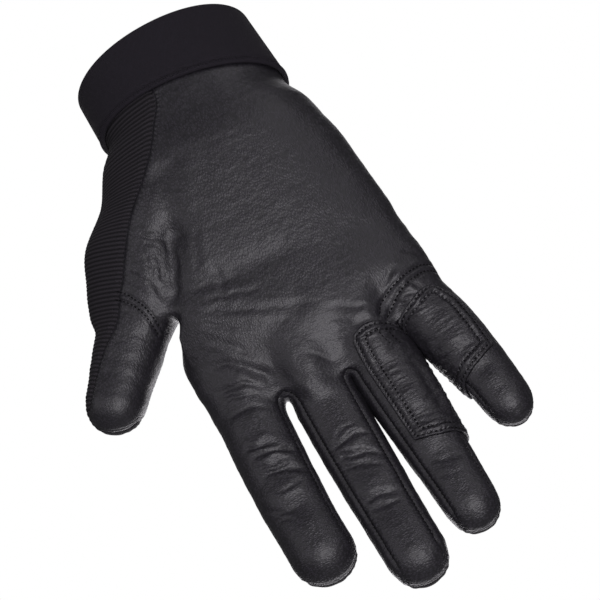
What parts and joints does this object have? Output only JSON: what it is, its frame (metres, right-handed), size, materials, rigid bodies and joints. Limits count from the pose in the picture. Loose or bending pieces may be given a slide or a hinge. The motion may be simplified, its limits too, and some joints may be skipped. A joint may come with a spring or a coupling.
{
  "type": "horse riding glove",
  "caption": "Right-hand riding glove with a leather palm, ribbed stretch-knit back, elastic knit cuff and rein patches, in its worn form.",
  "frame": {"origin": "middle of the wrist opening, at the cuff's mouth", "axes": "+Z out of the wrist opening, fingers down -Z, palm facing -Y, thumb at -X"},
  "size_m": [0.1613, 0.0633, 0.2632],
  "materials": {
    "glove_leather": "soft smooth black nappa with a fine grain",
    "patch_leather": "black leather reinforcement, double-stitched",
    "ribbed_knit": "matt black ribbed stretch knit",
    "elastic_knit": "matt black fine elastic knit"
  },
  "bodies": {
    "root": {"cuff_band": "elastic_knit", "palm_leather": "glove_leather", "back_knit": "ribbed_knit", "thumb_front": "glove_leather", "fourchette_index_middle": "glove_leather", "fourchette_middle_ring": "glove_leather", "fourchette_ring_little": "glove_leather", "ring_patch": "patch_leather", "little_patch": "patch_leather"}
  },
  "joints": []
}
